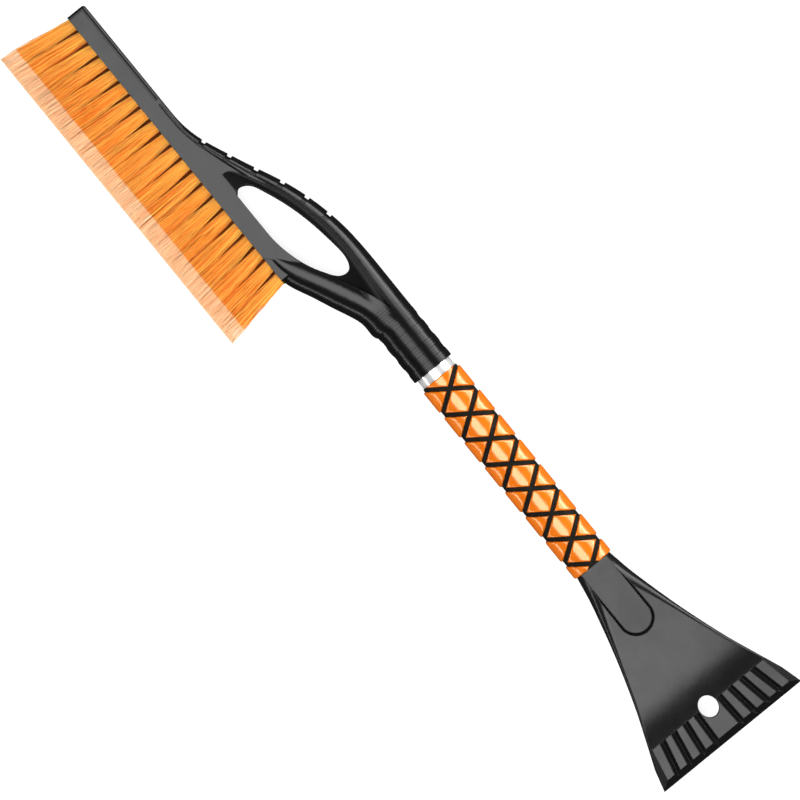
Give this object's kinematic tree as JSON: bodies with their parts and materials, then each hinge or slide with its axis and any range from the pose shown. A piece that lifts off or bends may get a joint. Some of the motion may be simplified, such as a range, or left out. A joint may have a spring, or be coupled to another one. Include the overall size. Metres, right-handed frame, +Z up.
{
  "type": "windshield snow brush with ice scraper",
  "caption": "Snow brush with a D-shaped hand hole, an aluminium tube with a diamond-grooved foam grip, and a fan-shaped ribbed ice scraper; the head pulls off at a snap button.",
  "frame": {"origin": "under the middle of the tool's outline, on the surface it lies on, with the tool on its back", "axes": "+X along the tube from the brush head to the scraper, +Y across, away from the bristles, +Z up out of the front face"},
  "size_m": [0.6932, 0.1604, 0.0334],
  "materials": {
    "black_plastic": "satin",
    "scraper_plastic": "satin",
    "orange_bristle": "satin",
    "polished_aluminium": "polished",
    "black_foam": "matte",
    "orange_foam": "satin",
    "steel_pin": "satin",
    "spring_steel": "satin",
    "anchor_wire": "satin",
    "button_plastic": "satin"
  },
  "bodies": {
    "brush_head": {"brush_head_frame": "black_plastic", "tuft_front_01": "orange_bristle", "tuft_front_02": "orange_bristle", "tuft_front_03": "orange_bristle", "tuft_front_04": "orange_bristle", "tuft_front_05": "orange_bristle", "tuft_front_06": "orange_bristle", "tuft_front_07": "orange_bristle", "tuft_front_08": "orange_bristle", "tuft_front_09": "orange_bristle", "tuft_front_10": "orange_bristle", "tuft_front_11": "orange_bristle", "tuft_front_12": "orange_bristle", "tuft_front_13": "orange_bristle", "tuft_front_14": "orange_bristle", "tuft_front_15": "orange_bristle", "tuft_front_16": "orange_bristle", "tuft_front_17": "orange_bristle", "tuft_front_18": "orange_bristle", "tuft_front_19": "orange_bristle", "tuft_front_20": "orange_bristle", "tuft_front_21": "orange_bristle", "tuft_rear_01": "orange_bristle", "tuft_rear_02": "orange_bristle", "tuft_rear_03": "orange_bristle", "tuft_rear_04": "orange_bristle", "tuft_rear_05": "orange_bristle", "tuft_rear_06": "orange_bristle", "tuft_rear_07": "orange_bristle", "tuft_rear_08": "orange_bristle", "tuft_rear_09": "orange_bristle", "tuft_rear_10": "orange_bristle", "tuft_rear_11": "orange_bristle", "tuft_rear_12": "orange_bristle", "tuft_rear_13": "orange_bristle", "tuft_rear_14": "orange_bristle", "tuft_rear_15": "orange_bristle", "tuft_rear_16": "orange_bristle", "tuft_rear_17": "orange_bristle", "tuft_rear_18": "orange_bristle", "tuft_rear_19": "orange_bristle", "tuft_rear_20": "orange_bristle", "tuft_anchors_front": "anchor_wire", "tuft_anchors_rear": "anchor_wire"},
    "handle": {"handle_tube": "polished_aluminium", "grip_sleeve": "black_foam", "grip_pads": "orange_foam", "scraper_head": "scraper_plastic", "retaining_pin": "steel_pin", "snap_spring": "spring_steel"},
    "snap_button": {"snap_button": "button_plastic"}
  },
  "joints": [
    {"name": "head_pull_off", "type": "slide", "parent": "brush_head", "child": "handle", "axis": [1, 0, 0], "range_m": [0, 0.06], "deforming": ["snap_button"]},
    {"name": "button_press", "type": "slide", "parent": "handle", "child": "snap_button", "axis": [0, 0, 1], "range_m": [0, 0.004], "stiffness_N_per_m": 800, "springref_m": -0.003, "deforming": ["snap_spring"]}
  ]
}
